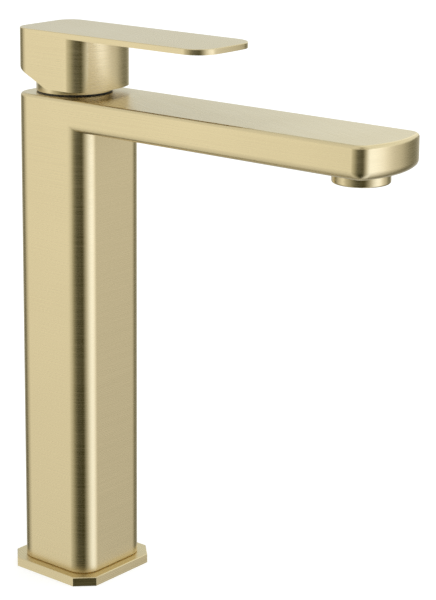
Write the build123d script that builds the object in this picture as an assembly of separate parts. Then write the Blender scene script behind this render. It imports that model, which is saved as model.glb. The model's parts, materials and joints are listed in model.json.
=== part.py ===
from build123d import *
import math
import os

# Tall single-lever basin mixer: a square hollow column, a flat spout, a lever with a flat blade,
# a ceramic cartridge under the lever and an aerator under the spout's tip.
# Millimetres, +Z up, spout along +X. The origin is the centre of the column, on the deck.

# ---- overall sizes ----
BODY_TOP = 266.0        # top of column and spout above the deck
SPOUT_REACH = 204.5     # column centre to the crown of the spout's tip
SPOUT_T = 17.0          # spout thickness
LEVER_TOP = 34.0        # top of the blade above the body
BLADE_REACH = 105.4     # cartridge axis to the crown of the blade's tip

# ---- cartridge and the walls round it, which set the column's width ----
CARTRIDGE_R = 17.5      # 35 mm cartridge
CARTRIDGE_GAP = 0.2     # cartridge to its chamber
THREAD_STEP = 1.5       # chamber wall to the retaining nut's thread
REAR_WALL = 2.8         # nut thread to the column's back
RISER_R = 3.25          # water riser in front of the cartridge
RISER_WALL = 1.3        # chamber to riser
FRONT_WALL = 2.5        # riser to the column's front

# ---- column, spout and foot ----
COLUMN_R = 11.0         # upright corner radius
COLUMN_WALL = 4.0       # wall round the hose duct
FOOT_CHAMFER = 0.5      # column's lower edge
TOP_EDGE_R = 2.0        # upper edge of body
SPOUT_EDGE_R = 4.5      # lower edge of spout
SPOUT_TIP_R = 8.0       # corners of the spout's tip
SPOUT_BOW = 6.0         # depth of the tip's curve
SPOUT_WALL = 3.5        # above and below the waterway
WATERWAY_W = 38.0
WATERWAY_ROUND = 0.33   # corner radius as a share of the waterway's height
PLATE_LIP = 5.0         # plate beyond the column
PLATE_T = 5.0
PLATE_CUT = 9.0         # cut-off corners of the plate
PLATE_EDGE = 0.4
BASE_SEAL_IN = 22.5
BASE_SEAL_OUT = 26.5
BASE_SEAL_T = 2.0
INSERT_T = 12.0         # insert above the plate
INSERT_LIFT = 1.0       # insert's underside above the deck
SPIGOT_R = 20.0
FIT_GAP = 0.15          # loose pieces that locate in each other
STUD_HOLE_R = 2.5       # M6
STUD_SPACING = 28.0
HOSE_WAY_R = 6.5

# ---- water ports ----
INLET_R = 4.5           # M10 x 1, at the thread's crest
INLET_DEPTH = 12.0
PORT_R = 3.0
DISC_PORT_R = 2.8
INLET_X = 5.0           # from the cartridge axis
INLET_Y = 8.5
OUTLET_X = -4.0
PEG_X = 6.5
PEG_Y = 13.0
PEG_R = 1.8
PEG_DEPTH = 2.5
PEG_GAP = 0.1
OUTLET_DROP = 6.0       # outlet channel below the chamber floor

# ---- cartridge stack, upward from the chamber floor ----
CHAMBER_DEPTH = 34.0
CARTRIDGE_BASE_T = 6.0
SEAL_IN = 3.4
SEAL_OUT = 4.9
PORT_SEAL_T = 1.5
DISC_SEAL_T = 1.0
DISC_ROOM = 1.8         # housing to the fixed disc
DISC_T = 3.5
DISC_GAP = 0.02         # ceramic faces
DISC_STEP = 2.0         # fixed disc wider than the moving disc
MIX_RIM = 2.5           # moving disc wider than its mixing hollow
MIX_BACK = 1.5          # its centre behind the disc's centre
MIX_DEPTH = 1.5
CARRIER_T = 7.0
CARRIER_PEG_R = 1.0
CARRIER_PEG_Y = 8.0
CARRIER_PEG_L = 1.2
HOUSING_WALL = 1.7
GUIDE_INSET = 3.5       # cartridge wider than the rotor's flange
GUIDE_FLANGE_T = 3.0
GUIDE_STEP = 2.0        # flange wider than the rotor
RUNNING_GAP = 0.06      # turning fits
FACE_GAP = 0.3          # faces that pass each other
NECK_WALL = 2.2         # rotor to the outside of the neck
NECK_RISE = 2.0         # neck above the body
NUT_DEPTH = 8.0
NUT_RISE = 3.5
NUT_THREAD_GAP = 0.1
NUT_BORE_GAP = 0.2
NUT_TOP_STEP = 0.8      # chamber mouth wider than the nut's top
NUT_SLOT_W = 4.0
NUT_SLOT_DEPTH = 1.8
NUT_SLOTS = 6
LUG_HALF_ANGLE = 8.0
LUG_RISE = 1.0
LIMIT_MARGIN = 2.0      # degrees past the lug's travel

# ---- lever motion ----
PIVOT_RISE = 2.0        # tilt pin above the body's top
LEVER_ARM = 18.5        # tilt pin to the driving ball
LIFT_MAX = 20.0         # degrees
TURN_MAX = 45.0
BALL_R = 2.8
BALL_GAP = 0.3
BALL_NECK_R = 2.0
STEM_W = 8.0
STEM_RISE = 27.0        # stem top above the body
STEM_FOOT = 10.0        # square part below the pin
STEM_GAP = 0.15
PIN_R = 1.75
PIN_GAP = 0.05
PIN_SEAT_GAP = 0.02
PIN_SHORT = 1.0         # pin ends inside the guide

# ---- collar and handle ----
RING_WALL = 1.9
RING_RISE = 5.5
RING_TOP_T = 1.3
RING_HOLE_R = 9.0
RING_EDGE_R = 0.5
RING_GAP = 0.1
RING_SEAL_T = 0.8
RING_SEAL_SET = 0.4     # seal edge inside the ring's edge
HANDLE_GAP = 3.3        # block above the body
HANDLE_CLEAR = 0.6      # collar to the block's hollow
HANDLE_WALL = 1.2
HANDLE_BACK_WALL = 3.2
HANDLE_FRONT_WALL = 6.4
HANDLE_BACK_R = 10.0
HANDLE_FRONT_R = 12.0
BLOCK_BOW = 6.8         # depth of the block's curved front
BLADE_T = 3.0
BLADE_TIP_R = 12.0
BLADE_BOW = 1.5
BLADE_EDGE = 0.3
REAR_SLOPE = 25.0       # degrees, relief under the block's back
HOLLOW_RISE = 15.0      # wide hollow above the body
POCKET_R = 19.0
POCKET_RISE = 28.5
BOSS_HALF = 8.0
SOCKET_GAP = 0.1
SOCKET_END_GAP = 0.5
SCREW_RISE = 21.0
SCREW_R = 2.5           # M5
SCREW_L = 12.0
SCREW_GAP = 0.1
SCREW_BOSS_R = 5.5
SCREW_HEX = 2.5         # across flats
SCREW_HEX_DEPTH = 3.0
HEX_SIDES = 6
PLUG_R = 3.5
PLUG_T = 3.5
PLUG_GAP = 0.05
CONTACT_GAP = 0.02

# ---- aerator ----
AERATOR_BACK = 22.5     # aerator axis behind the spout's tip
AERATOR_R = 14.2
AERATOR_DROP = 6.0
AERATOR_EDGE_R = 1.0
AERATOR_THREAD_R = 12.0  # M24 x 1
AERATOR_SOCKET = 8.0
AERATOR_SEAT_GAP = 0.1
AERATOR_THREAD_GAP = 0.1
AERATOR_BORE_R = 10.3
AERATOR_LIP_R = 9.6
AERATOR_LIP_T = 1.2
INSERT_GAP = 0.1
AERATOR_INSERT_T = 9.0
SCREEN_T = 0.8
WASHER_T = 1.0
WASHER_IN = 9.2
CHAMBER_R = 9.0
CELL_R = 0.85
CELL_PITCH = 2.4
LINK_W = 14.0
LINK_H = 4.0

LEVEL_GAP = 1e-4        # heights this near count as the same

# ---- worked out from the sizes above ----
CHAMBER_WALL_R = CARTRIDGE_R + CARTRIDGE_GAP
MOUTH_R = CHAMBER_WALL_R + THREAD_STEP
AXIS_TO_BACK = MOUTH_R + REAR_WALL
FIXED_DISC_R = CARTRIDGE_R - HOUSING_WALL - DISC_ROOM
MOVING_DISC_R = FIXED_DISC_R - DISC_STEP
MIX_R = MOVING_DISC_R - MIX_RIM
GUIDE_FLANGE_R = CARTRIDGE_R - GUIDE_INSET
GUIDE_R = GUIDE_FLANGE_R - GUIDE_STEP
NECK_R = GUIDE_R + NECK_WALL
NUT_TOP_R = MOUTH_R - NUT_TOP_STEP
AXIS_TO_RISER = CHAMBER_WALL_R + RISER_WALL + RISER_R
AXIS_TO_FRONT = AXIS_TO_RISER + RISER_R + FRONT_WALL
COLUMN_W = AXIS_TO_BACK + AXIS_TO_FRONT
HALF = COLUMN_W / 2
AXIS_X = AXIS_TO_BACK - HALF
RISER_X = AXIS_X + AXIS_TO_RISER
DUCT_W = COLUMN_W - 2 * COLUMN_WALL
PLATE_W = COLUMN_W + 2 * PLATE_LIP
SPOUT_Z = BODY_TOP - SPOUT_T
AERATOR_X = SPOUT_REACH - AERATOR_BACK
CHAMBER_Z = BODY_TOP - CHAMBER_DEPTH
CHANNEL_Z = CHAMBER_Z - OUTLET_DROP
INLET_TOP = CHANNEL_Z - RISER_R - FACE_GAP
INLET_Z = INLET_TOP - INLET_DEPTH
FIXED_DISC_Z = CHAMBER_Z + CARTRIDGE_BASE_T
MOVING_DISC_Z = FIXED_DISC_Z + DISC_T + DISC_GAP
CARRIER_Z = MOVING_DISC_Z + DISC_T
CARRIER_TOP = CARRIER_Z + CARRIER_T
GUIDE_Z = CARRIER_TOP + FACE_GAP
FLANGE_TOP = GUIDE_Z + GUIDE_FLANGE_T
NUT_Z = BODY_TOP - NUT_DEPTH
NECK_TOP = BODY_TOP + NECK_RISE
NUT_TOP = BODY_TOP + NUT_RISE
PIVOT_Z = BODY_TOP + PIVOT_RISE
BALL_Z = PIVOT_Z - LEVER_ARM
DISC_TRAVEL = LEVER_ARM * math.radians(LIFT_MAX)
DISC_X = AXIS_X - DISC_TRAVEL / 2
STEM_TOP = BODY_TOP + STEM_RISE
RING_IN = NUT_TOP_R + RING_GAP
RING_R = RING_IN + RING_WALL
HOLLOW_R = RING_R + HANDLE_CLEAR
HANDLE_HALF_W = HOLLOW_R + HANDLE_WALL
HANDLE_BACK = HOLLOW_R + HANDLE_BACK_WALL
HANDLE_FRONT = HOLLOW_R + HANDLE_FRONT_WALL
BLOCK_Z = BODY_TOP + HANDLE_GAP
BLADE_TOP = BODY_TOP + LEVER_TOP
SCREW_Z = BODY_TOP + SCREW_RISE
PORTS = [(AXIS_X + INLET_X, INLET_Y), (AXIS_X + INLET_X, -INLET_Y), (AXIS_X + OUTLET_X, 0.0)]
PEGS = [(AXIS_X + PEG_X, PEG_Y), (AXIS_X + PEG_X, -PEG_Y)]


def disc(radius, low, high, x=AXIS_X, y=0.0):
    """Upright cylinder between two heights."""
    return Pos(x, y, low) * Cylinder(radius, high - low, align=(Align.CENTER, Align.CENTER, Align.MIN))


def ring(outer, inner, low, high, x=AXIS_X, y=0.0):
    """Upright ring between two heights."""
    return disc(outer, low, high, x, y) - disc(inner, low, high, x, y)


def rod_x(radius, start, end, z):
    """Cylinder along X."""
    return Pos((start + end) / 2, 0, z) * Rot(0, 90, 0) * Cylinder(radius, end - start)


def cross_rod(radius, half_length):
    """Cylinder along Y on the tilt axis."""
    return Pos(AXIS_X, 0, PIVOT_Z) * Rot(90, 0, 0) * Cylinder(radius, 2 * half_length)


def slab(x_low, x_high, half_w, low, high):
    """Box about the XZ plane."""
    size = (x_high - x_low, 2 * half_w, high - low)
    return Pos((x_low + x_high) / 2, 0, (low + high) / 2) * Box(*size)


def plan_slab(x_low, x_high, half_w, low, high, back_r, front_r, bow):
    """Slab with rounded upright corners and a front that bows out by a given depth."""
    chord = x_high - bow
    sides = Polyline((chord, half_w), (x_low, half_w), (x_low, -half_w), (chord, -half_w))
    front = Line((chord, -half_w), (chord, half_w))
    if bow:
        front = ThreePointArc((chord, -half_w), (x_high, 0), (chord, half_w))
    outline = make_face([sides, front])
    if back_r:
        outline = fillet(outline.vertices().group_by(Axis.X)[0], back_r)
    outline = fillet(outline.vertices().group_by(Axis.X)[-1], front_r)
    return extrude(Pos(0, 0, low) * outline, high - low)


def square_plan(half, low, high, radius):
    """Column section between two heights."""
    return plan_slab(-half, half, half, low, high, radius, radius, 0)


def is_at(edge, height):
    """Whether an edge is level and at this height."""
    box = edge.bounding_box()
    return abs(box.min.Z - height) < LEVEL_GAP and abs(box.max.Z - height) < LEVEL_GAP


def edges_at(shape, height):
    """Edges that lie at one height."""
    return [e for e in shape.edges() if is_at(e, height)]


def body_shell():
    """Outside of the column and spout."""
    spout = plan_slab(0, SPOUT_REACH, HALF, SPOUT_Z, BODY_TOP, 0, SPOUT_TIP_R, SPOUT_BOW)
    lower = [e for e in edges_at(spout, SPOUT_Z) if e.center().X > SPOUT_EDGE_R]
    spout = fillet(lower, SPOUT_EDGE_R)
    column = square_plan(HALF, PLATE_T, BODY_TOP, COLUMN_R)
    column = chamfer(edges_at(column, PLATE_T), FOOT_CHAMFER)
    shell = column + spout
    return fillet(edges_at(shell, BODY_TOP), TOP_EDGE_R)


def waterway():
    """Water space from the cartridge floor to the aerator."""
    core_end = AERATOR_X - AERATOR_THREAD_R - FRONT_WALL
    core_low = SPOUT_Z + SPOUT_WALL
    core_high = BODY_TOP - SPOUT_WALL
    core_w = WATERWAY_W / 2
    edge_r = (core_high - core_low) * WATERWAY_ROUND
    start = RISER_X - RISER_R
    core = slab(start, core_end, core_w, core_low, core_high)
    core = fillet(core.edges().filter_by(Axis.X), edge_r)
    riser = disc(RISER_R, CHANNEL_Z, core_high - edge_r, RISER_X)
    channel = rod_x(RISER_R, AXIS_X + OUTLET_X, RISER_X, CHANNEL_Z)
    elbow = Pos(RISER_X, 0, CHANNEL_Z) * Sphere(RISER_R)
    link = slab(core_end - RISER_R, AERATOR_X, LINK_W / 2, core_high - LINK_H, core_high)
    chamber = disc(CHAMBER_R, SPOUT_Z + AERATOR_SOCKET, core_high, AERATOR_X)
    return core + riser + channel + elbow + link + chamber


def body_casting():
    """Column and spout with the hose duct, ports, cartridge chamber, waterway and aerator socket."""
    body = body_shell()
    body -= square_plan(DUCT_W / 2, PLATE_T, INLET_Z, COLUMN_R - COLUMN_WALL)
    body -= disc(CHAMBER_WALL_R, CHAMBER_Z, NUT_Z)
    body -= disc(MOUTH_R, NUT_Z, BODY_TOP)
    for x, y in PORTS[:2]:
        body -= disc(INLET_R, INLET_Z, INLET_TOP, x, y)
        body -= disc(PORT_R, INLET_TOP, CHAMBER_Z, x, y)
    outlet_x, outlet_y = PORTS[2]
    body -= disc(PORT_R, CHANNEL_Z, CHAMBER_Z, outlet_x, outlet_y)
    for x, y in PEGS:
        body -= disc(PEG_R + PEG_GAP, CHAMBER_Z - PEG_DEPTH - PEG_GAP, CHAMBER_Z, x, y)
    body -= waterway()
    return body - disc(AERATOR_THREAD_R, SPOUT_Z, SPOUT_Z + AERATOR_SOCKET, AERATOR_X)


def base_plate():
    """Eight-sided plate with a bore for the insert's spigot and a groove for the seal."""
    plate = Pos(0, 0, PLATE_T / 2) * Box(PLATE_W, PLATE_W, PLATE_T)
    plate = chamfer(plate.edges().filter_by(Axis.Z), PLATE_CUT)
    plate = chamfer(edges_at(plate, PLATE_T), PLATE_EDGE)
    plate -= disc(SPIGOT_R + FIT_GAP, 0, PLATE_T, 0)
    return plate - ring(BASE_SEAL_OUT, BASE_SEAL_IN, 0, BASE_SEAL_T, 0)


def base_seal():
    """Rubber ring flush with the plate's underside."""
    return ring(BASE_SEAL_OUT, BASE_SEAL_IN, 0, BASE_SEAL_T, 0)


def mounting_insert():
    """Plug brazed into the column's foot, with two hose ways and two stud threads."""
    radius = COLUMN_R - COLUMN_WALL - FIT_GAP
    plug = square_plan(DUCT_W / 2 - FIT_GAP, PLATE_T, PLATE_T + INSERT_T, radius)
    plug += disc(SPIGOT_R, INSERT_LIFT, PLATE_T, 0)
    for x, y in PORTS[:2]:
        plug -= disc(HOSE_WAY_R, INSERT_LIFT, PLATE_T + INSERT_T, x, y)
    for side in (-1, 1):
        plug -= disc(STUD_HOLE_R, INSERT_LIFT, PLATE_T + INSERT_T, side * STUD_SPACING / 2)
    return plug


def cartridge_base():
    """Foot of the cartridge with three ports, seal seats on both faces and two pegs."""
    base = disc(CARTRIDGE_R, CHAMBER_Z, FIXED_DISC_Z)
    for x, y in PORTS:
        base -= disc(PORT_R, CHAMBER_Z, FIXED_DISC_Z, x, y)
        base -= ring(SEAL_OUT, SEAL_IN, CHAMBER_Z, CHAMBER_Z + PORT_SEAL_T, x, y)
        base -= ring(SEAL_OUT, SEAL_IN, FIXED_DISC_Z - DISC_SEAL_T, FIXED_DISC_Z, x, y)
    for x, y in PEGS:
        base += disc(PEG_R, CHAMBER_Z - PEG_DEPTH, CHAMBER_Z, x, y)
    return base


def port_rings(low, high):
    """One ring round each port."""
    return Compound([ring(SEAL_OUT, SEAL_IN, low, high, x, y) for x, y in PORTS])


def fixed_disc():
    """Ceramic disc with two inlets and an outlet."""
    plate = disc(FIXED_DISC_R, FIXED_DISC_Z, FIXED_DISC_Z + DISC_T)
    for x, y in PORTS:
        plate -= disc(DISC_PORT_R, FIXED_DISC_Z, FIXED_DISC_Z + DISC_T, x, y)
    return plate


def moving_disc():
    """Ceramic disc with the mixing hollow underneath and two blind holes on top."""
    top = MOVING_DISC_Z + DISC_T
    plate = disc(MOVING_DISC_R, MOVING_DISC_Z, top, DISC_X)
    plate -= disc(MIX_R, MOVING_DISC_Z, MOVING_DISC_Z + MIX_DEPTH, DISC_X - MIX_BACK)
    for side in (-1, 1):
        radius = CARRIER_PEG_R + CONTACT_GAP
        plate -= disc(radius, top - CARRIER_PEG_L - PEG_GAP, top, DISC_X, side * CARRIER_PEG_Y)
    return plate


def disc_carrier():
    """Slide that pushes the moving disc, with a slot for the spindle's ball."""
    slide = disc(MOVING_DISC_R, CARRIER_Z, CARRIER_TOP, DISC_X)
    for side in (-1, 1):
        slide += disc(CARRIER_PEG_R, CARRIER_Z - CARRIER_PEG_L, CARRIER_Z, DISC_X, side * CARRIER_PEG_Y)
    reach = BALL_R + BALL_GAP
    return slide - slab(AXIS_X - reach, AXIS_X + reach, reach, BALL_Z - reach, CARRIER_TOP)


def cartridge_housing():
    """Cartridge shell: wide chamber for the discs, narrow neck for the rotor."""
    shell = disc(CARTRIDGE_R, FIXED_DISC_Z, NUT_Z) + disc(NECK_R, NUT_Z, NECK_TOP)
    shell -= disc(CARTRIDGE_R - HOUSING_WALL, FIXED_DISC_Z, GUIDE_Z - FACE_GAP / 2)
    shell -= disc(GUIDE_FLANGE_R + RUNNING_GAP, GUIDE_Z - FACE_GAP / 2, FLANGE_TOP + RUNNING_GAP)
    return shell - disc(GUIDE_R + RUNNING_GAP, FLANGE_TOP, NECK_TOP)


def lug_sector(radius, half_angle, low, high):
    """Pie piece about +X."""
    reach = radius * math.cos(math.radians(half_angle))
    half_w = radius * math.sin(math.radians(half_angle))
    arc = ThreePointArc((reach, -half_w), (radius, 0), (reach, half_w))
    outline = make_face([Line((0, 0), (reach, -half_w)), arc, Line((reach, half_w), (0, 0))])
    return extrude(Pos(AXIS_X, 0, low) * outline, high - low)


def spindle_guide():
    """Rotor that turns in the neck, slotted for the spindle and cross-bored for its pin."""
    guide = disc(GUIDE_FLANGE_R, GUIDE_Z, FLANGE_TOP) + disc(GUIDE_R, FLANGE_TOP, NUT_TOP)
    guide += lug_sector(GUIDE_R + LUG_RISE, LUG_HALF_ANGLE, NECK_TOP + FACE_GAP, NUT_TOP)
    half = STEM_W / 2
    tilt = math.sin(math.radians(LIFT_MAX))
    front = max(half + STEM_FOOT * tilt, BALL_R + LEVER_ARM * tilt) + BALL_GAP
    back = max(half + NUT_RISE * tilt, BALL_R) + BALL_GAP
    guide -= slab(AXIS_X - back, AXIS_X + front, half + STEM_GAP, GUIDE_Z, NUT_TOP)
    return guide - cross_rod(PIN_R + PIN_SEAT_GAP, GUIDE_R - PIN_SHORT)


def spindle_pin():
    """Cross pin that the spindle tilts on."""
    return cross_rod(PIN_R, GUIDE_R - PIN_SHORT)


def spindle():
    """Square stem with a ball below its pin hole."""
    half = STEM_W / 2
    low = PIVOT_Z - STEM_FOOT
    stem = slab(AXIS_X - half, AXIS_X + half, half, low, STEM_TOP)
    stem += disc(BALL_NECK_R, BALL_Z, low)
    stem += Pos(AXIS_X, 0, BALL_Z) * Sphere(BALL_R)
    return stem - cross_rod(PIN_R + PIN_GAP, STEM_W)


def limit_ring():
    """Ring on the neck whose opening stops the rotor's lug."""
    inner = GUIDE_R + LUG_RISE + FACE_GAP
    band = ring(NECK_R, GUIDE_R + FACE_GAP, NECK_TOP, NUT_TOP)
    travel = TURN_MAX + LUG_HALF_ANGLE + LIMIT_MARGIN
    return band - lug_sector(inner, travel, NECK_TOP, NUT_TOP)


def cartridge_nut():
    """Ring nut that clamps the cartridge, with spanner slots in its upper edge."""
    nut = disc(MOUTH_R - NUT_THREAD_GAP, NUT_Z, BODY_TOP) + disc(NUT_TOP_R, BODY_TOP, NUT_TOP)
    nut -= disc(NECK_R + NUT_BORE_GAP, NUT_Z, NUT_TOP)
    cutter = slab(0, MOUTH_R, NUT_SLOT_W / 2, NUT_TOP - NUT_SLOT_DEPTH, NUT_TOP)
    for i in range(NUT_SLOTS):
        nut -= Pos(AXIS_X, 0, 0) * Rot(0, 0, 360 * i / NUT_SLOTS) * cutter
    return nut


def cover_ring():
    """Collar over the nut, open in the middle for the stem."""
    low = BODY_TOP + RING_SEAL_T
    high = BODY_TOP + RING_RISE
    collar = disc(RING_R, low, high)
    collar = fillet(edges_at(collar, high), RING_EDGE_R)
    collar -= disc(RING_IN, low, high - RING_TOP_T)
    return collar - disc(RING_HOLE_R, high - RING_TOP_T, high)


def cover_ring_seal():
    """Dark ring between the collar and the body."""
    return ring(RING_R - RING_SEAL_SET, RING_IN + RING_GAP, BODY_TOP, BODY_TOP + RING_SEAL_T)


def handle():
    """Flat blade over a hollow block that fits the stem."""
    back = AXIS_X - HANDLE_BACK
    front = AXIS_X + HANDLE_FRONT
    tip = AXIS_X + BLADE_REACH
    low = BLADE_TOP - BLADE_T
    half_w = HANDLE_HALF_W
    block = plan_slab(back, front, half_w, BLOCK_Z, BLADE_TOP, HANDLE_BACK_R, HANDLE_FRONT_R, BLOCK_BOW)
    blade = plan_slab(back, tip, half_w, low, BLADE_TOP, HANDLE_BACK_R, BLADE_TIP_R, BLADE_BOW)
    lever = block + blade
    lever = chamfer(edges_at(lever, BLADE_TOP), BLADE_EDGE)
    rise = HANDLE_BACK * math.tan(math.radians(REAR_SLOPE))
    wedge = make_face(Polyline((0, 0), (-HANDLE_BACK, 0), (-HANDLE_BACK, rise), (0, 0)))
    wedge = extrude(Plane.XZ * wedge, half_w, both=True)
    lever -= Pos(AXIS_X, 0, BLOCK_Z) * wedge
    lever -= disc(HOLLOW_R, BODY_TOP, BODY_TOP + HOLLOW_RISE)
    socket = STEM_W / 2 + SOCKET_GAP
    low = BODY_TOP + HOLLOW_RISE
    high = BODY_TOP + POCKET_RISE
    pocket = disc(POCKET_R, low, high)
    pocket -= slab(AXIS_X - BOSS_HALF, AXIS_X + BOSS_HALF, BOSS_HALF, low, high)
    pocket -= rod_x(SCREW_BOSS_R, back, AXIS_X, SCREW_Z)
    lever -= pocket
    lever -= slab(AXIS_X - socket, AXIS_X + socket, socket, low, STEM_TOP + SOCKET_END_GAP)
    lever -= rod_x(SCREW_R + SCREW_GAP, back + PLUG_T, AXIS_X - socket, SCREW_Z)
    return lever - rod_x(PLUG_R + PLUG_GAP, back, back + PLUG_T + CONTACT_GAP, SCREW_Z)


def handle_screw():
    """Grub screw with a hexagon socket, tight against the stem's back."""
    tip = AXIS_X - STEM_W / 2 - CONTACT_GAP
    screw = rod_x(SCREW_R, tip - SCREW_L, tip, SCREW_Z)
    key = extrude(RegularPolygon(SCREW_HEX / 2, HEX_SIDES, major_radius=False), SCREW_HEX_DEPTH)
    return screw - Pos(tip - SCREW_L, 0, SCREW_Z) * Rot(0, 90, 0) * key


def screw_plug():
    """Small plug flush with the handle's back."""
    back = AXIS_X - HANDLE_BACK
    return rod_x(PLUG_R, back, back + PLUG_T, SCREW_Z)


def aerator_housing():
    """Threaded shell with a round collar and an inward lip at the mouth."""
    low = SPOUT_Z - AERATOR_DROP
    top = SPOUT_Z + AERATOR_SOCKET - WASHER_T
    shell = disc(AERATOR_R, low, SPOUT_Z - AERATOR_SEAT_GAP, AERATOR_X)
    shell = fillet(edges_at(shell, low), AERATOR_EDGE_R)
    shell += disc(AERATOR_THREAD_R - AERATOR_THREAD_GAP, SPOUT_Z - AERATOR_SEAT_GAP, top, AERATOR_X)
    shell -= disc(AERATOR_BORE_R, low + AERATOR_LIP_T, top, AERATOR_X)
    return shell - disc(AERATOR_LIP_R, low, low + AERATOR_LIP_T, AERATOR_X)


def cells(radius, low, high):
    """Hexagonal pattern of upright holes inside a circle."""
    count = int(radius / CELL_PITCH) + 1
    row_step = CELL_PITCH * math.sqrt(3) / 2
    holes = []
    for row in range(-count, count + 1):
        for column in range(-count, count + 1):
            x = (column + row % 2 / 2) * CELL_PITCH
            y = row * row_step
            if math.hypot(x, y) + CELL_R < radius - CELL_R:
                holes.append(disc(CELL_R, low, high, AERATOR_X + x, y))
    return holes


def perforated(low, high):
    """Disc with the cell pattern that fits the aerator's bore."""
    radius = AERATOR_BORE_R - INSERT_GAP
    return disc(radius, low, high, AERATOR_X) - cells(radius, low, high)


def aerator_insert():
    """Honeycomb that straightens the stream."""
    low = SPOUT_Z - AERATOR_DROP + AERATOR_LIP_T
    return perforated(low, low + AERATOR_INSERT_T)


def aerator_screen():
    """Strainer on top of the honeycomb."""
    low = SPOUT_Z - AERATOR_DROP + AERATOR_LIP_T + AERATOR_INSERT_T
    return perforated(low, low + SCREEN_T)


def aerator_washer():
    """Seal between the shell and the spout's shoulder."""
    top = SPOUT_Z + AERATOR_SOCKET
    return ring(AERATOR_THREAD_R - AERATOR_THREAD_GAP, WASHER_IN, top - WASHER_T, top, AERATOR_X)


def port_seals():
    """Rings between the cartridge and the body."""
    return port_rings(CHAMBER_Z, CHAMBER_Z + PORT_SEAL_T)


def disc_seals():
    """Rings between the cartridge base and the fixed disc."""
    return port_rings(FIXED_DISC_Z - DISC_SEAL_T, FIXED_DISC_Z)


PIECES = [
    body_casting, base_plate, base_seal, mounting_insert, cartridge_base, port_seals, disc_seals,
    fixed_disc, moving_disc, disc_carrier, cartridge_housing, spindle_guide, spindle_pin, spindle,
    limit_ring, cartridge_nut, cover_ring, cover_ring_seal, handle, handle_screw, screw_plug,
    aerator_housing, aerator_insert, aerator_screen, aerator_washer,
]

os.makedirs("parts", exist_ok=True)
for piece in PIECES:
    export_step(piece(), f"parts/{piece.__name__}.step")
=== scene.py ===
import json
import math

import bmesh
import bpy
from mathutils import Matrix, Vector

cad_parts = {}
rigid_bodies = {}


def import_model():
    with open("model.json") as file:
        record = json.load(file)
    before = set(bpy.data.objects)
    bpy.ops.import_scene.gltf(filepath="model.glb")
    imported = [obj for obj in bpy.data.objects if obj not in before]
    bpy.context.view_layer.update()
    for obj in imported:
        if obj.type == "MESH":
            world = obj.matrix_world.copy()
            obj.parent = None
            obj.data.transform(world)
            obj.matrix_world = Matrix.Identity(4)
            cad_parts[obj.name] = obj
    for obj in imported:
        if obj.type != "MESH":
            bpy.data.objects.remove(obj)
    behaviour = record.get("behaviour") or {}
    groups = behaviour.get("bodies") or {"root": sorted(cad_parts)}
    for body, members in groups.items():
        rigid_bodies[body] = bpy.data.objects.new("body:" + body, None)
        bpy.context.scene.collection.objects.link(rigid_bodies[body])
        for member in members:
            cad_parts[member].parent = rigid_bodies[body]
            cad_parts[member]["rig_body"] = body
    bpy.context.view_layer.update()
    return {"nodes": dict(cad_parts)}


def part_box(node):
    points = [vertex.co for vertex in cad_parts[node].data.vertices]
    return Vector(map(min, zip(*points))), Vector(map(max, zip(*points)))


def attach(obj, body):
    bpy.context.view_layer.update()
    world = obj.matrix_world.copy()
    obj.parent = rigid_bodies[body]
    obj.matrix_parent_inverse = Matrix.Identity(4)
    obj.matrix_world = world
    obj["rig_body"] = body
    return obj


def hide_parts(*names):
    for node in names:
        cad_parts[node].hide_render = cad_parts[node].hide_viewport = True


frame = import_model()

bl_info = {
    "name": "Tall basin mixer",
    "version": (1, 0, 0),
    "blender": (4, 5, 0),
    "location": "View3D > Sidebar > Basin mixer",
    "description": "Finishes the CAD frame of a tall single-lever basin mixer",
    "category": "Object",
}

CREASE = math.radians(35)       # faces that meet more sharply than this keep a crisp corner
SMALL_FACE = 6                  # a face this many times smaller than its neighbour takes its normal
FLAT_ENOUGH = math.radians(0.4)  # faces that meet at less than this are joined
WELD = 0.5e-6                   # vertices nearer than this are one
THIN = 0.2e-6                   # edges shorter than this are dropped
LEVEL_FROM, LEVEL_TO = 0.6, 0.85  # upward part of the normal where a wall turns into a top
LINE_SHADE = 0.16               # how far full brushing darkens or lightens the colour
LINE_DEPTH = 0.000005           # relief of the brush lines
GRAIN_DEPTH = 0.00003           # relief of the grain
SCREEN_PITCH = 0.0008           # woven screen: distance between wires
SCREEN_WIRE = 0.00012           # woven screen: wire radius
RIM_STEPS = 96                  # segments round the aerator's rims
TENT_PEAK = 2.6                 # brightest the light tent can be


# ---------------------------------------------------------------- settings

class MixerFinish(bpy.types.PropertyGroup):
    """Colours and surface of the visible metal."""
    gold: bpy.props.FloatVectorProperty(
        name="Gold", description="Colour of the brushed coating",
        default=(0.66, 0.545, 0.315), size=3, min=0, max=1, subtype="COLOR")
    roughness: bpy.props.FloatProperty(
        name="Roughness", description="Roughness of the brushed coating",
        default=0.27, min=0, max=1, subtype="FACTOR")
    line_gap: bpy.props.FloatProperty(
        name="Line gap", description="Mean distance between brush lines",
        default=0.00035, min=0.0001, unit="LENGTH")
    line_length: bpy.props.FloatProperty(
        name="Line length", description="Mean length of a brush line",
        default=0.05, min=0.001, unit="LENGTH")
    brushing: bpy.props.FloatProperty(
        name="Brushing", description="How deep the brush lines look",
        default=0.16, min=0, max=1, subtype="FACTOR")
    brass: bpy.props.FloatVectorProperty(
        name="Raw brass", description="Colour of machined parts inside",
        default=(0.78, 0.60, 0.30), size=3, min=0, max=1, subtype="COLOR")


class MixerAerator(bpy.types.PropertyGroup):
    """Sizes of the honeycomb under the spout."""
    cell_pitch: bpy.props.FloatProperty(
        name="Cell pitch", description="Distance between honeycomb cells",
        default=0.0024, min=0.001, unit="LENGTH")
    cell_wall: bpy.props.FloatProperty(
        name="Cell wall", description="Thickness of the honeycomb walls",
        default=0.0004, min=0.0001, unit="LENGTH")


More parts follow.
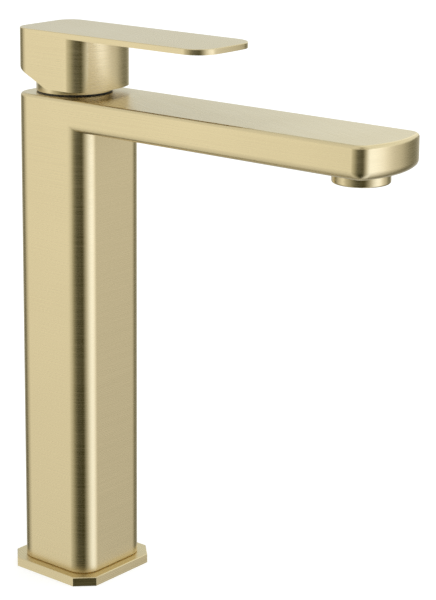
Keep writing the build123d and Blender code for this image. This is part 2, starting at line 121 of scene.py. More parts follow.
class MixerStudio(bpy.types.PropertyGroup):
    """Camera and light."""
    camera_place: bpy.props.FloatVectorProperty(
        name="Camera", description="Place of the camera",
        default=(0.6997, -0.7495, 0.4435), size=3, subtype="TRANSLATION", unit="LENGTH")
    camera_turn: bpy.props.FloatProperty(
        name="Camera turn", description="Turn of the camera about the upright axis, from the side",
        default=math.radians(41.222), subtype="ANGLE", unit="ROTATION")
    camera_dip: bpy.props.FloatProperty(
        name="Camera dip", description="How far the camera looks down",
        default=math.radians(12.959), subtype="ANGLE", unit="ROTATION")
    lens: bpy.props.FloatProperty(
        name="Lens", description="Focal length in millimetres",
        default=117.64, min=1, unit="CAMERA")
    shift: bpy.props.FloatVectorProperty(
        name="Shift", description="Sideways and upward shift of the lens",
        default=(0.13, -0.17), size=2)
    floor_size: bpy.props.FloatProperty(
        name="Floor size", description="Width of the floor",
        default=16.0, min=1, unit="LENGTH")
    floor_colour: bpy.props.FloatVectorProperty(
        name="Floor", description="Colour of the floor",
        default=(0.55, 0.55, 0.55), size=3, min=0, max=1, subtype="COLOR")
    floor_glow: bpy.props.FloatProperty(
        name="Floor glow", description="Light that comes through the floor",
        default=0.62, min=0)
    strength: bpy.props.FloatProperty(
        name="Light", description="Strength of the light tent",
        default=1.0, min=0, soft_max=4)


# ---------------------------------------------------------------- node helpers

def node(tree, kind, inputs=None, **settings):
    """Adds a node, sets its properties, then fills or links its inputs by name or index."""
    made = tree.nodes.new(kind)
    for key, value in settings.items():
        setattr(made, key, value)
    for key, value in (inputs or {}).items():
        if isinstance(value, bpy.types.NodeSocket):
            tree.links.new(value, made.inputs[key])
        else:
            made.inputs[key].default_value = value
    return made


def math_node(tree, operation, a, b=0.0):
    """Result socket of one Math node."""
    return node(tree, "ShaderNodeMath", {0: a, 1: b}, operation=operation).outputs[0]


def smooth_step(tree, value, low, high, out_low=0.0, out_high=1.0):
    """Smooth change of a value between two limits."""
    made = node(
        tree, "ShaderNodeMapRange",
        {"Value": value, "From Min": low, "From Max": high, "To Min": out_low, "To Max": out_high},
        interpolation_type="SMOOTHSTEP")
    return made.outputs["Result"]


def group_tree(name, inputs, outputs, kind="ShaderNodeTree"):
    """Empty node group with named sockets: (name, socket type, default)."""
    tree = bpy.data.node_groups.new(name, kind)
    for label, socket, default in inputs:
        made = tree.interface.new_socket(label, in_out="INPUT", socket_type=socket)
        if default is not None:
            made.default_value = default
    for label, socket in outputs:
        tree.interface.new_socket(label, in_out="OUTPUT", socket_type=socket)
    return tree, tree.nodes.new("NodeGroupInput"), tree.nodes.new("NodeGroupOutput")


# ---------------------------------------------------------------- shared surface effects

def brush_lines_group():
    """Fine brush lines: level round the upright faces, slanting over the flat ones."""
    name = "Brush lines"
    if name in bpy.data.node_groups:
        return bpy.data.node_groups[name]
    tree, start, end = group_tree(
        name,
        [("Line Gap", "NodeSocketFloat", 0.0006), ("Line Length", "NodeSocketFloat", 0.03),
         ("Slant", "NodeSocketFloat", 0.4)],
        [("Lines", "NodeSocketFloat"), ("Clouds", "NodeSocketFloat")])
    place = node(tree, "ShaderNodeTexCoord")
    across = math_node(tree, "DIVIDE", 1.0, start.outputs["Line Gap"])
    along = math_node(tree, "DIVIDE", 1.0, start.outputs["Line Length"])
    turn = node(tree, "ShaderNodeCombineXYZ", {"Z": start.outputs["Slant"]})
    slanted = node(tree, "ShaderNodeMapping", {
        "Vector": place.outputs["Object"], "Rotation": turn.outputs[0]})
    stretch_side = node(tree, "ShaderNodeCombineXYZ", {"X": along, "Y": along, "Z": across})
    stretch_flat = node(tree, "ShaderNodeCombineXYZ", {"X": along, "Y": across, "Z": along})
    side = node(tree, "ShaderNodeVectorMath", {0: place.outputs["Object"], 1: stretch_side.outputs[0]},
                operation="MULTIPLY")
    flat = node(tree, "ShaderNodeVectorMath", {0: slanted.outputs[0], 1: stretch_flat.outputs[0]},
                operation="MULTIPLY")
    facing = node(tree, "ShaderNodeSeparateXYZ", {0: place.outputs["Normal"]})
    level = smooth_step(tree, math_node(tree, "ABSOLUTE", facing.outputs["Z"]), LEVEL_FROM, LEVEL_TO)
    where = node(tree, "ShaderNodeMix", {"Factor": level, 4: side.outputs[0], 5: flat.outputs[0]},
                 data_type="VECTOR")
    lines = node(tree, "ShaderNodeTexNoise",
                 {"Vector": where.outputs[1], "Scale": 1.0, "Detail": 3.0, "Roughness": 0.6})
    clouds = node(tree, "ShaderNodeTexNoise",
                  {"Vector": place.outputs["Object"], "Scale": 22.0, "Detail": 2.0, "Roughness": 0.5})
    tree.links.new(lines.outputs["Fac"], end.inputs["Lines"])
    tree.links.new(clouds.outputs["Fac"], end.inputs["Clouds"])
    return tree


def speckle_group():
    """Two sizes of soft grain for moulded, cast and fired surfaces."""
    name = "Fine grain"
    if name in bpy.data.node_groups:
        return bpy.data.node_groups[name]
    tree, start, end = group_tree(
        name, [("Grain Size", "NodeSocketFloat", 0.0005)],
        [("Grain", "NodeSocketFloat"), ("Patches", "NodeSocketFloat")])
    place = node(tree, "ShaderNodeTexCoord")
    scale = math_node(tree, "DIVIDE", 1.0, start.outputs["Grain Size"])
    fine = node(tree, "ShaderNodeTexNoise",
                {"Vector": place.outputs["Object"], "Scale": scale, "Detail": 2.0})
    wide = node(tree, "ShaderNodeTexNoise",
                {"Vector": place.outputs["Object"], "Scale": math_node(tree, "MULTIPLY", scale, 0.05),
                 "Detail": 3.0})
    tree.links.new(fine.outputs["Fac"], end.inputs["Grain"])
    tree.links.new(wide.outputs["Fac"], end.inputs["Patches"])
    return tree


# ---------------------------------------------------------------- materials

def new_material(name):
    """Empty material with a Principled shader wired to the output."""
    material = bpy.data.materials.new(name)
    material.use_nodes = True
    tree = material.node_tree
    tree.nodes.clear()
    shader = node(tree, "ShaderNodeBsdfPrincipled")
    output = node(tree, "ShaderNodeOutputMaterial")
    tree.links.new(shader.outputs["BSDF"], output.inputs["Surface"])
    return material, tree, shader


def tint(tree, colour, factor, dark, light):
    """Colour multiplied by a grey that runs from dark to light with the factor."""
    shade = smooth_step(tree, factor, 0.25, 0.75, dark, light)
    return node(
        tree, "ShaderNodeVectorMath", {0: shade, 1: (*colour,)}, operation="MULTIPLY").outputs[0]


def brush_stretch(tree, slant):
    """Direction in which the brush lines smear a reflection: upward on walls, across the lines on tops."""
    place_ = node(tree, "ShaderNodeTexCoord")
    facing = node(tree, "ShaderNodeSeparateXYZ", {0: place_.outputs["Normal"]})
    level = smooth_step(tree, math_node(tree, "ABSOLUTE", facing.outputs["Z"]), LEVEL_FROM, LEVEL_TO)
    way = node(tree, "ShaderNodeMix", {
        "Factor": level, 4: (0, 0, 1), 5: (math.sin(slant), math.cos(slant), 0)}, data_type="VECTOR")
    world = node(tree, "ShaderNodeVectorTransform", {0: way.outputs[1]},
                 vector_type="VECTOR", convert_from="OBJECT", convert_to="WORLD")
    return world.outputs[0]


def brushed_metal(name, colour, roughness, finish, slant=0.4, aniso=0.8):
    """Metal with a brushed, slightly satin surface."""
    if name in bpy.data.materials:
        return bpy.data.materials[name]
    material, tree, shader = new_material(name)
    lines = node(tree, "ShaderNodeGroup", node_tree=brush_lines_group())
    lines.inputs["Line Gap"].default_value = finish.line_gap
    lines.inputs["Line Length"].default_value = finish.line_length
    lines.inputs["Slant"].default_value = slant
    shade = finish.brushing * LINE_SHADE
    shader.inputs["Metallic"].default_value = 1.0
    shader.inputs["Anisotropic"].default_value = aniso
    tree.links.new(tint(tree, colour, lines.outputs["Lines"], 1 - shade, 1 + shade),
                   shader.inputs["Base Color"])
    rough = smooth_step(tree, lines.outputs["Lines"], 0.25, 0.75, roughness * 0.85, roughness * 1.15)
    rough = math_node(tree, "ADD", rough, smooth_step(tree, lines.outputs["Clouds"], 0.3, 0.7, -0.012, 0.012))
    tree.links.new(rough, shader.inputs["Roughness"])
    bump = node(tree, "ShaderNodeBump",
                {"Strength": finish.brushing, "Distance": LINE_DEPTH, "Height": lines.outputs["Lines"]})
    tree.links.new(bump.outputs["Normal"], shader.inputs["Normal"])
    tree.links.new(brush_stretch(tree, slant), shader.inputs["Tangent"])
    return material


def grained(name, colour, roughness, grain=0.0004, bump=0.15, metallic=0.0, contrast=0.08, coat=0.0):
    """Moulded, turned or fired surface with fine grain."""
    if name in bpy.data.materials:
        return bpy.data.materials[name]
    material, tree, shader = new_material(name)
    speckle = node(tree, "ShaderNodeGroup", node_tree=speckle_group())
    speckle.inputs["Grain Size"].default_value = grain
    shader.inputs["Metallic"].default_value = metallic
    shader.inputs["Coat Weight"].default_value = coat
    tree.links.new(tint(tree, colour, speckle.outputs["Patches"], 1 - contrast, 1 + contrast),
                   shader.inputs["Base Color"])
    tree.links.new(smooth_step(tree, speckle.outputs["Grain"], 0.3, 0.7, roughness * 0.9, roughness * 1.1),
                   shader.inputs["Roughness"])
    relief = node(tree, "ShaderNodeBump",
                  {"Strength": bump, "Distance": GRAIN_DEPTH, "Height": speckle.outputs["Grain"]})
    tree.links.new(relief.outputs["Normal"], shader.inputs["Normal"])
    return material


def brushed_gold(finish):
    return brushed_metal("Brushed gold", finish.gold, finish.roughness, finish)


def raw_brass(finish):
    return brushed_metal("Raw brass", finish.brass, 0.28, finish, slant=0.0, aniso=0.3)


def steel(finish):
    return brushed_metal("Stainless steel", (0.58, 0.58, 0.57), 0.22, finish, slant=0.0, aniso=0.3)


# Nearly black rubber with a warm cast. The seals wear it as their own colour. On the ring under the collar
# the same dark warm colour is painted shade, standing in for the contact shadow and reflection there.
def rubber_and_painted_shade():
    return grained("Black rubber", (0.030, 0.026, 0.016), 0.6, bump=0.25, contrast=0.2)


def dark_acetal():
    return grained("Dark acetal", (0.03, 0.03, 0.032), 0.38, contrast=0.12)


def grey_acetal():
    return grained("Grey acetal", (0.30, 0.31, 0.33), 0.36)


def white_acetal():
    return grained("White acetal", (0.80, 0.80, 0.78), 0.34, contrast=0.03)


def ceramic():
    return grained(
        "Polished ceramic", (0.86, 0.85, 0.81), 0.10, grain=0.0008, bump=0.03, contrast=0.03, coat=0.4)


# ---------------------------------------------------------------- mesh helpers

def bake(obj):
    """Turns the object's modifiers into plain mesh."""
    depsgraph = bpy.context.evaluated_depsgraph_get()
    mesh = bpy.data.meshes.new_from_object(obj.evaluated_get(depsgraph))
    obj.modifiers.clear()
    obj.data = mesh
    return obj


def corner_normal(face, corners):
    """Normal of a face at one vertex: the mean of the large faces there that run on smoothly."""
    smooth = [c for c in corners if c.face.normal.angle(face.normal, 0.0) < CREASE]
    largest = max(c.face.calc_area() for c in smooth)
    total = Vector((0.0, 0.0, 0.0))
    for corner in smooth:
        if corner.face.calc_area() * SMALL_FACE >= largest:
            total += corner.face.normal * corner.calc_angle()
    return total.normalized() if total.length > 0 else face.normal.copy()


def shade(mesh):
    """Smooth shading with crisp corners, where flat faces stay flat up to their edges."""
    shell = bmesh.new()
    shell.from_mesh(mesh)
    shell.normal_update()
    normals = []
    for face in shell.faces:
        for corner in face.loops:
            normals.append(corner_normal(face, corner.vert.link_loops))
    shell.free()
    mesh.shade_smooth()
    mesh.normals_split_custom_set(normals)


def finished_copy(cad_node, name, material):
    """Piece with the CAD node's own shape, welded and shaded, that stands for the node."""
    mesh = frame["nodes"][cad_node].data.copy()
    mesh.materials.clear()
    shell = bmesh.new()
    shell.from_mesh(mesh)
    bmesh.ops.remove_doubles(shell, verts=shell.verts, dist=WELD)
    bmesh.ops.dissolve_degenerate(shell, edges=shell.edges, dist=THIN)
    bmesh.ops.dissolve_limit(shell, angle_limit=FLAT_ENOUGH, verts=shell.verts, edges=shell.edges)
    shell.to_mesh(mesh)
    shell.free()
    mesh.materials.append(material)
    shade(mesh)
    piece = bpy.data.objects.new(name, mesh)
    bpy.context.scene.collection.objects.link(piece)
    return place(piece, cad_node)


def place(piece, cad_node):
    """Lets a finished piece stand for a CAD node and move with the node's body."""
    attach(piece, frame["nodes"][cad_node]["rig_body"])
    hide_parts(cad_node)
    return piece


def settings():
    return bpy.context.scene.mixer_finish


# ---------------------------------------------------------------- geometry node helpers

def geometry_tree(name, inputs):
    """Empty geometry tree: named inputs, then one geometry output. A Geometry input comes first."""
    return group_tree(
        name, [("Geometry", "NodeSocketGeometry", None)] + inputs,
        [("Geometry", "NodeSocketGeometry")], "GeometryNodeTree")


def end_tree(tree, end, geometry, material, smooth=False):
    """Realizes instances, sets the material and joins the result to the output."""
    real = node(tree, "GeometryNodeRealizeInstances", {"Geometry": geometry})
    shaded = node(tree, "GeometryNodeSetShadeSmooth", {"Geometry": real.outputs[0], "Shade Smooth": smooth})
    painted = node(tree, "GeometryNodeSetMaterial", {"Geometry": shaded.outputs[0], "Material": material})
    tree.links.new(painted.outputs[0], end.inputs["Geometry"])


def grow(name, tree, values):
    """Object with a tree's result as its plain mesh."""
    piece = bpy.data.objects.new(name, bpy.data.meshes.new(name))
    bpy.context.scene.collection.objects.link(piece)
    modifier = piece.modifiers.new(tree.name, "NODES")
    modifier.node_group = tree
    sockets = {i.name: i.identifier for i in tree.interface.items_tree if i.in_out == "INPUT"}
    for key, value in values.items():
        modifier[sockets[key]] = value
    return bake(piece)


# ---------------------------------------------------------------- aerator trees

def honeycomb_tree(material):
    """Disc of hexagonal tubes inside a plain rim."""
    tree, start, end = geometry_tree("Honeycomb", [
        ("Radius", "NodeSocketFloat", 0.01), ("Pitch", "NodeSocketFloat", 0.0024),
        ("Wall", "NodeSocketFloat", 0.0004), ("Height", "NodeSocketFloat", 0.009),
        ("Centre", "NodeSocketVector", None)])
    size = start.outputs
    side = math_node(tree, "MULTIPLY", size["Radius"], 4.0)
    steps = math_node(tree, "ROUND", math_node(tree, "DIVIDE", side, size["Pitch"]))
    odd = math_node(tree, "ADD", math_node(tree, "MULTIPLY", math_node(
        tree, "ROUND", math_node(tree, "DIVIDE", steps, 2.0)), 2.0), 1.0)
    span = math_node(tree, "MULTIPLY", math_node(tree, "SUBTRACT", odd, 1.0), size["Pitch"])
    sheet = node(tree, "GeometryNodeMeshGrid", {
        "Size X": span, "Size Y": span, "Vertices X": odd, "Vertices Y": odd})
    place = node(tree, "GeometryNodeInputPosition")
    at = node(tree, "ShaderNodeSeparateXYZ", {0: place.outputs[0]})
    lean = node(tree, "ShaderNodeCombineXYZ", {
        "X": math_node(tree, "ADD", at.outputs["X"], math_node(tree, "MULTIPLY", at.outputs["Y"], -0.5)),
        "Y": math_node(tree, "MULTIPLY", at.outputs["Y"], math.sqrt(3) / 2)})
    leaned = node(tree, "GeometryNodeSetPosition", {
        "Geometry": sheet.outputs["Mesh"], "Position": lean.outputs[0]})
    triangles = node(tree, "GeometryNodeTriangulate", {0: leaned.outputs[0]}, quad_method="FIXED")
    hexagons = node(tree, "GeometryNodeDualMesh", {0: triangles.outputs[0]})
    from_centre = node(tree, "ShaderNodeVectorMath", {0: node(tree, "GeometryNodeInputPosition").outputs[0]},
                       operation="LENGTH")
    keep_in = math_node(tree, "SUBTRACT", size["Radius"], math_node(tree, "MULTIPLY", size["Pitch"], 0.25))
    outside = math_node(tree, "GREATER_THAN", from_centre.outputs["Value"], keep_in)
    tiles = node(tree, "GeometryNodeDeleteGeometry", {0: hexagons.outputs[0], 1: outside}, domain="FACE")
    inset = node(tree, "GeometryNodeExtrudeMesh",
                 {"Mesh": tiles.outputs[0], "Offset Scale": 0.0, "Individual": True}, mode="FACES")
    share = math_node(tree, "SUBTRACT", 1.0, math_node(tree, "DIVIDE", size["Wall"], size["Pitch"]))
    narrowed = node(tree, "GeometryNodeScaleElements",
                    {"Geometry": inset.outputs["Mesh"], "Selection": inset.outputs["Top"], "Scale": share},
                    domain="FACE")
    walls = node(tree, "GeometryNodeDeleteGeometry",
                 {0: narrowed.outputs[0], 1: inset.outputs["Top"]}, domain="FACE", mode="ALL")
    up = node(tree, "ShaderNodeCombineXYZ", {"Z": size["Height"]})
    raised = node(tree, "GeometryNodeExtrudeMesh", {
        "Mesh": walls.outputs[0], "Offset": up.outputs[0], "Offset Scale": 1.0, "Individual": False},
                  mode="FACES")
    under = node(tree, "GeometryNodeFlipFaces", {0: walls.outputs[0]})
    closed = node(tree, "GeometryNodeJoinGeometry")
    tree.links.new(raised.outputs["Mesh"], closed.inputs[0])
    tree.links.new(under.outputs[0], closed.inputs[0])
    welded = node(tree, "GeometryNodeMergeByDistance", {"Geometry": closed.outputs[0], "Distance": 1e-6})
    rim_line = node(tree, "GeometryNodeCurvePrimitiveCircle", {"Resolution": RIM_STEPS, "Radius": math_node(
        tree, "SUBTRACT", size["Radius"], size["Wall"])})
    profile = node(tree, "GeometryNodeCurvePrimitiveQuadrilateral", {
        "Width": math_node(tree, "MULTIPLY", size["Wall"], 2.0), "Height": size["Height"]})
    rim = node(tree, "GeometryNodeCurveToMesh", {
        "Curve": rim_line.outputs["Curve"], "Profile Curve": profile.outputs["Curve"], "Fill Caps": False})
    lift = node(tree, "ShaderNodeCombineXYZ", {"Z": math_node(tree, "MULTIPLY", size["Height"], 0.5)})
    rim_up = node(tree, "GeometryNodeTransform", {"Geometry": rim.outputs[0], "Translation": lift.outputs[0]})
    both = node(tree, "GeometryNodeJoinGeometry")
    tree.links.new(welded.outputs[0], both.inputs[0])
    tree.links.new(rim_up.outputs[0], both.inputs[0])
    moved = node(tree, "GeometryNodeTransform", {"Geometry": both.outputs[0], "Translation": size["Centre"]})
    end_tree(tree, end, moved.outputs[0], material)
    return tree


def woven_tree(material):
    """Round screen of wires that pass over and under each other, in a flat rim."""
    tree, start, end = geometry_tree("Woven screen", [
        ("Radius", "NodeSocketFloat", 0.01), ("Pitch", "NodeSocketFloat", 0.0008),
        ("Wire", "NodeSocketFloat", 0.0001), ("Centre", "NodeSocketVector", None)])
    size = start.outputs
    half = math_node(tree, "SUBTRACT", size["Radius"], size["Pitch"])
    count = math_node(tree, "ROUND", math_node(tree, "DIVIDE", half, size["Pitch"]))
    reach = math_node(tree, "MULTIPLY", count, size["Pitch"])
    many = math_node(tree, "ADD", math_node(tree, "MULTIPLY", count, 2.0), 1.0)
    low = node(tree, "ShaderNodeCombineXYZ", {"Y": math_node(tree, "MULTIPLY", reach, -1.0)})
    step = node(tree, "ShaderNodeCombineXYZ", {"Y": size["Pitch"]})
    rows = node(tree, "GeometryNodeMeshLine", {
        "Count": many, "Start Location": low.outputs[0], "Offset": step.outputs[0]})
    left = node(tree, "ShaderNodeCombineXYZ", {"X": -1.0})
    right = node(tree, "ShaderNodeCombineXYZ", {"X": 1.0})
    unit_line = node(tree, "GeometryNodeCurvePrimitiveLine", {
        "Start": left.outputs[0], "End": right.outputs[0]})
    points = math_node(tree, "ADD", math_node(tree, "MULTIPLY", many, 4.0), 1.0)
    fine = node(tree, "GeometryNodeResampleCurve", {"Curve": unit_line.outputs[0], "Count": points})
    row_y = node(tree, "ShaderNodeSeparateXYZ", {0: node(tree, "GeometryNodeInputPosition").outputs[0]})
    chord = math_node(tree, "SQRT", math_node(tree, "MAXIMUM", math_node(
        tree, "SUBTRACT", math_node(tree, "MULTIPLY", size["Radius"], size["Radius"]),
        math_node(tree, "MULTIPLY", row_y.outputs["Y"], row_y.outputs["Y"])), 1e-8))
    stretch = node(tree, "ShaderNodeCombineXYZ", {"X": chord, "Y": 1.0, "Z": 1.0})
    wires = node(tree, "GeometryNodeInstanceOnPoints", {
        "Points": rows.outputs[0], "Instance": fine.outputs[0], "Scale": stretch.outputs[0]})
    real = node(tree, "GeometryNodeRealizeInstances", {"Geometry": wires.outputs[0]})
    at = node(tree, "ShaderNodeSeparateXYZ", {0: node(tree, "GeometryNodeInputPosition").outputs[0]})
    turns = math_node(tree, "DIVIDE", math.pi, size["Pitch"])
    wave = math_node(tree, "COSINE", math_node(tree, "MULTIPLY", at.outputs["X"], turns))
    parity = math_node(tree, "COSINE", math_node(tree, "MULTIPLY", at.outputs["Y"], turns))
    height = math_node(tree, "MULTIPLY", math_node(tree, "MULTIPLY", wave, parity), size["Wire"])
    offset = node(tree, "ShaderNodeCombineXYZ", {"Z": height})
    bent = node(tree, "GeometryNodeSetPosition", {"Geometry": real.outputs[0], "Offset": offset.outputs[0]})
    section = node(tree, "GeometryNodeCurvePrimitiveCircle", {"Resolution": 4, "Radius": size["Wire"]})
    warp = node(tree, "GeometryNodeCurveToMesh", {
        "Curve": bent.outputs[0], "Profile Curve": section.outputs["Curve"], "Fill Caps": True})
    quarter = node(tree, "ShaderNodeCombineXYZ", {"Z": math.pi / 2})
    mirror_z = node(tree, "ShaderNodeCombineXYZ", {"X": math.pi})
    weft = node(tree, "GeometryNodeTransform", {"Geometry": warp.outputs[0], "Rotation": mirror_z.outputs[0]})
    weft = node(tree, "GeometryNodeTransform", {"Geometry": weft.outputs[0], "Rotation": quarter.outputs[0]})
    rim_line = node(tree, "GeometryNodeCurvePrimitiveCircle", {"Resolution": RIM_STEPS, "Radius": math_node(
        tree, "SUBTRACT", size["Radius"], math_node(tree, "MULTIPLY", size["Wire"], 3.0))})
    rim_section = node(tree, "GeometryNodeCurvePrimitiveCircle", {
        "Resolution": 12, "Radius": math_node(tree, "MULTIPLY", size["Wire"], 3.0)})
    rim = node(tree, "GeometryNodeCurveToMesh", {
        "Curve": rim_line.outputs["Curve"], "Profile Curve": rim_section.outputs["Curve"]})
    both = node(tree, "GeometryNodeJoinGeometry")
    for part in (warp, weft, rim):
        tree.links.new(part.outputs[0], both.inputs[0])
    moved = node(tree, "GeometryNodeTransform", {"Geometry": both.outputs[0], "Translation": size["Centre"]})
    end_tree(tree, end, moved.outputs[0], material, smooth=True)
    return tree


# ---------------------------------------------------------------- operators

class MIXER_OT_body(bpy.types.Operator):
    """Column and spout in brushed gold"""
    bl_idname = "mixer.body"
    bl_label = "Body"

    def execute(self, context):
        finished_copy("body_casting", "body", brushed_gold(settings()))
        return {"FINISHED"}


class MIXER_OT_base(bpy.types.Operator):
    """Eight-sided base plate, its seal and the mounting insert"""
    bl_idname = "mixer.base"
    bl_label = "Base plate"

    def execute(self, context):
        finish = settings()
        finished_copy("base_plate", "foot_plate", brushed_gold(finish))
        finished_copy("base_seal", "foot_seal", rubber_and_painted_shade())
        finished_copy("mounting_insert", "fixing_insert", raw_brass(finish))
        return {"FINISHED"}


class MIXER_OT_lever(bpy.types.Operator):
    """Lever block with its blade, clamping screw and plug"""
    bl_idname = "mixer.lever"
    bl_label = "Lever"

    def execute(self, context):
        finish = settings()
        finished_copy("handle", "lever", brushed_gold(finish))
        finished_copy("screw_plug", "lever_plug", brushed_gold(finish))
        finished_copy("handle_screw", "lever_screw", steel(finish))
        return {"FINISHED"}


class MIXER_OT_collar(bpy.types.Operator):
    """Collar under the lever, and a dark ring under it that is painted shade for the contact shadow and
    reflection below the collar
    """
    bl_idname = "mixer.collar"
    bl_label = "Collar"

    def execute(self, context):
        finished_copy("cover_ring", "collar", brushed_gold(settings()))
        # Dark ring under the collar: painted shade, a dark piece put where the collar casts its contact
        # shadow and reflection.
        finished_copy("cover_ring_seal", "collar_seal", rubber_and_painted_shade())
        return {"FINISHED"}


class MIXER_OT_aerator(bpy.types.Operator):
    """Aerator shell, honeycomb, strainer and washer"""
    bl_idname = "mixer.aerator"
    bl_label = "Aerator"

    def execute(self, context):
        finish = settings()
        cells = context.scene.mixer_aerator
        finished_copy("aerator_housing", "aerator_shell", brushed_gold(finish))
        finished_copy("aerator_washer", "aerator_seal", rubber_and_painted_shade())
        low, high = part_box("aerator_insert")
        centre = Vector(((low.x + high.x) / 2, (low.y + high.y) / 2, low.z))
        comb = grow("aerator_honeycomb", honeycomb_tree(grey_acetal()), {
            "Radius": (high.x - low.x) / 2, "Pitch": cells.cell_pitch, "Wall": cells.cell_wall,
            "Height": high.z - low.z, "Centre": centre})
        place(comb, "aerator_insert")
        low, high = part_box("aerator_screen")
        centre = Vector(((low.x + high.x) / 2, (low.y + high.y) / 2, (low.z + high.z) / 2))
        screen = grow("aerator_strainer", woven_tree(steel(finish)), {
            "Radius": (high.x - low.x) / 2, "Pitch": SCREEN_PITCH, "Wire": SCREEN_WIRE, "Centre": centre})
        place(screen, "aerator_screen")
        return {"FINISHED"}


class MIXER_OT_cartridge(bpy.types.Operator):
    """Ceramic cartridge: base, discs, carrier, housing, rotor, spindle, seals and nut"""
    bl_idname = "mixer.cartridge"
    bl_label = "Cartridge"

    def execute(self, context):
        finish = settings()
        finished_copy("cartridge_base", "cartridge_foot", grey_acetal())
        finished_copy("port_seals", "cartridge_port_seals", rubber_and_painted_shade())
        finished_copy("disc_seals", "cartridge_disc_seals", rubber_and_painted_shade())
        finished_copy("fixed_disc", "cartridge_lower_disc", ceramic())
        finished_copy("moving_disc", "cartridge_upper_disc", ceramic())
        finished_copy("disc_carrier", "cartridge_carrier", grey_acetal())
        finished_copy("cartridge_housing", "cartridge_shell", grey_acetal())
        finished_copy("spindle_guide", "cartridge_rotor", white_acetal())
        finished_copy("spindle_pin", "cartridge_pin", steel(finish))
        finished_copy("spindle", "cartridge_spindle", raw_brass(finish))
        finished_copy("limit_ring", "cartridge_stop_ring", dark_acetal())
        finished_copy("cartridge_nut", "cartridge_clamp_nut", raw_brass(finish))
        return {"FINISHED"}


class MIXER_OT_stage(bpy.types.Operator):
    """Pale floor, soft light tent and camera"""
    bl_idname = "mixer.stage"
    bl_label = "Stage"

    def execute(self, context):
        studio = context.scene.mixer_studio
        lay_floor(studio)
        light_tent(studio)
        place_camera(studio)
        context.scene.view_settings.view_transform = "Standard"
        return {"FINISHED"}


# ---------------------------------------------------------------- stage

def lay_floor(studio):
    """Pale matt floor that glows a little, so that only the contact shadow shows."""
    half = studio.floor_size / 2
    mesh = bpy.data.meshes.new("floor")
    corners = [(-half, -half, 0), (half, -half, 0), (half, half, 0), (-half, half, 0)]
    mesh.from_pydata(corners, [], [(0, 1, 2, 3)])
    floor = bpy.data.objects.new("floor", mesh)
    bpy.context.scene.collection.objects.link(floor)
    material, tree, shader = new_material("Pale floor")
    shader.inputs["Roughness"].default_value = 0.9
    shader.inputs["Specular IOR Level"].default_value = 0.0
    shader.inputs["Base Color"].default_value = (*studio.floor_colour, 1)
    shader.inputs["Emission Color"].default_value = (1, 1, 1, 1)
    shader.inputs["Emission Strength"].default_value = studio.floor_glow
    mesh.materials.append(material)
    floor.visible_glossy = False


def ramp(tree, factor, stops, interpolation="EASE"):
    """Colour that passes through the given (position, colour) stops."""
    made = node(tree, "ShaderNodeValToRGB", {"Fac": factor})
    band = made.color_ramp
    band.interpolation = interpolation
    while len(band.elements) > 1:
        band.elements.remove(band.elements[-1])
    for spot, colour in stops:
        element = band.elements[0] if spot == stops[0][0] else band.elements.new(spot)
        element.position = spot
        element.color = (*[part / TENT_PEAK for part in colour], 1)
    return made.outputs["Color"]


def around(*stops):
    """Stops given as (degrees to the right of the camera, red, green, blue), turned into ramp positions."""
    return [((degrees + 180) / 360, colour) for degrees, *colour in stops]


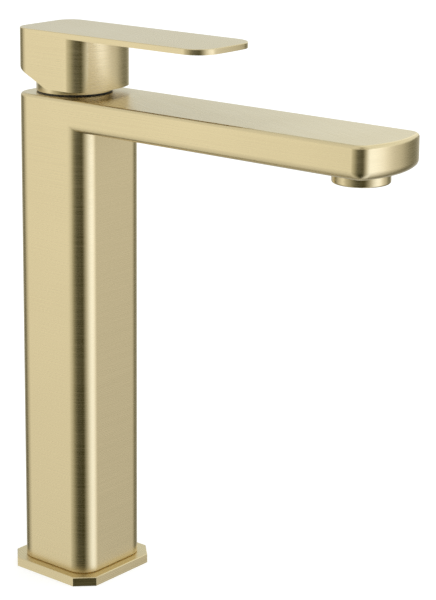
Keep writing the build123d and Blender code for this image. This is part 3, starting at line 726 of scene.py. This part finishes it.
def light_tent(studio):
    """White tent: open in front of the object near the floor, with soft panels at both sides."""
    world = bpy.data.worlds.new("Light tent")
    bpy.context.scene.world = world
    world.use_nodes = True
    tree = world.node_tree
    tree.nodes.clear()
    way = node(tree, "ShaderNodeTexCoord")
    at = node(tree, "ShaderNodeSeparateXYZ", {0: way.outputs["Generated"]})
    azimuth = math_node(tree, "ARCTAN2", at.outputs["X"], math_node(tree, "MULTIPLY", at.outputs["Y"], -1.0))
    turned = math_node(tree, "SUBTRACT", azimuth, studio.camera_turn)
    share = math_node(tree, "ADD", math_node(tree, "DIVIDE", turned, 2 * math.pi), 0.5)
    share = node(tree, "ShaderNodeMath", {0: share, 1: 1.0, 2: 0.0}, operation="WRAP").outputs[0]
    low_ring = ramp(tree, share, around(
        (-180, 0.77, 0.78, 0.75), (-152, 0.68, 0.69, 0.66),
        (-137, 0.29, 0.29, 0.24), (-121, 0.28, 0.28, 0.23),
        (-110, 0.68, 0.68, 0.63), (-92, 1.08, 1.10, 1.09), (-79, 1.30, 1.33, 1.34), (-70, 0.90, 0.91, 0.86),
        (-46, 0.44, 0.44, 0.36), (-28, 0.11, 0.11, 0.070), (-6, 0.08, 0.08, 0.045), (12, 0.14, 0.14, 0.09),
        (33, 0.90, 0.94, 1.00), (54, 1.68, 1.84, 2.25), (72, 1.72, 1.86, 2.25), (82, 1.38, 1.44, 1.60),
        (93, 0.95, 0.97, 1.01), (103, 0.80, 0.81, 0.80), (112, 0.52, 0.52, 0.48), (123, 0.28, 0.28, 0.23),
        (137, 0.29, 0.29, 0.24), (152, 0.68, 0.69, 0.66), (180, 0.77, 0.78, 0.75)), "CARDINAL")
    below = smooth_step(tree, at.outputs["Z"], -0.42, -0.16, 0.74, 1.0)
    low_ring = node(tree, "ShaderNodeVectorMath", {0: low_ring, 1: below}, operation="MULTIPLY").outputs[0]
    high_ring = ramp(tree, share, around(
        (-180, 0.86, 0.91, 0.91), (-168, 0.68, 0.72, 0.72), (-138, 0.90, 0.92, 0.93), (-60, 0.99, 1.02, 1.02),
        (-30, 0.89, 0.90, 0.88), (0, 0.55, 0.55, 0.51), (30, 0.89, 0.90, 0.88), (84, 1.13, 1.20, 1.26),
        (140, 1.08, 1.12, 1.13), (158, 1.34, 1.40, 1.42), (171, 1.10, 1.16, 1.16), (180, 0.86, 0.91, 0.91)))
    level = smooth_step(tree, at.outputs["Z"], 0.0, 0.20)
    tent = node(tree, "ShaderNodeMix", {"Factor": level, 6: low_ring, 7: high_ring}, data_type="RGBA")
    light = node(tree, "ShaderNodeBackground", {
        "Color": tent.outputs[2], "Strength": studio.strength * TENT_PEAK})
    white = node(tree, "ShaderNodeBackground", {"Color": (1, 1, 1, 1), "Strength": 1.0})
    path = node(tree, "ShaderNodeLightPath")
    seen = node(tree, "ShaderNodeMixShader", {
        0: path.outputs["Is Camera Ray"], 1: light.outputs[0], 2: white.outputs[0]})
    output = node(tree, "ShaderNodeOutputWorld")
    tree.links.new(seen.outputs[0], output.inputs["Surface"])


def place_camera(studio):
    """Long lens looking slightly down on the object from its front right."""
    data = bpy.data.cameras.new("camera")
    data.lens = studio.lens
    data.shift_x, data.shift_y = studio.shift
    data.clip_start, data.clip_end = 0.01, 100
    camera = bpy.data.objects.new("camera", data)
    camera.location = studio.camera_place
    camera.rotation_euler = (math.pi / 2 - studio.camera_dip, 0, studio.camera_turn)
    bpy.context.scene.collection.objects.link(camera)
    bpy.context.scene.camera = camera


# ---------------------------------------------------------------- panel and registration

class MIXER_PT_panel(bpy.types.Panel):
    """Basin mixer tools"""
    bl_idname = "MIXER_PT_panel"
    bl_label = "Basin mixer"
    bl_space_type = "VIEW_3D"
    bl_region_type = "UI"
    bl_category = "Basin mixer"

    def draw(self, context):
        for group in GROUPS:
            data = getattr(context.scene, group)
            for key in data.bl_rna.properties.keys():
                if key not in ("rna_type", "name"):
                    self.layout.prop(data, key)
        for operator in OPERATORS:
            self.layout.operator(operator.bl_idname)


GROUPS = {"mixer_finish": MixerFinish, "mixer_aerator": MixerAerator, "mixer_studio": MixerStudio}
OPERATORS = (
    MIXER_OT_body, MIXER_OT_base, MIXER_OT_lever, MIXER_OT_collar, MIXER_OT_aerator, MIXER_OT_cartridge,
    MIXER_OT_stage)


def register():
    for made in (*GROUPS.values(), *OPERATORS, MIXER_PT_panel):
        bpy.utils.register_class(made)
    for name, group in GROUPS.items():
        setattr(bpy.types.Scene, name, bpy.props.PointerProperty(type=group))


def unregister():
    for name in GROUPS:
        delattr(bpy.types.Scene, name)
    for made in reversed((*GROUPS.values(), *OPERATORS, MIXER_PT_panel)):
        bpy.utils.unregister_class(made)


def main():
    register()
    for step in ("body", "base", "lever", "collar", "aerator", "cartridge", "stage"):
        getattr(bpy.ops.mixer, step)()


if __name__ == "__main__":
    main()
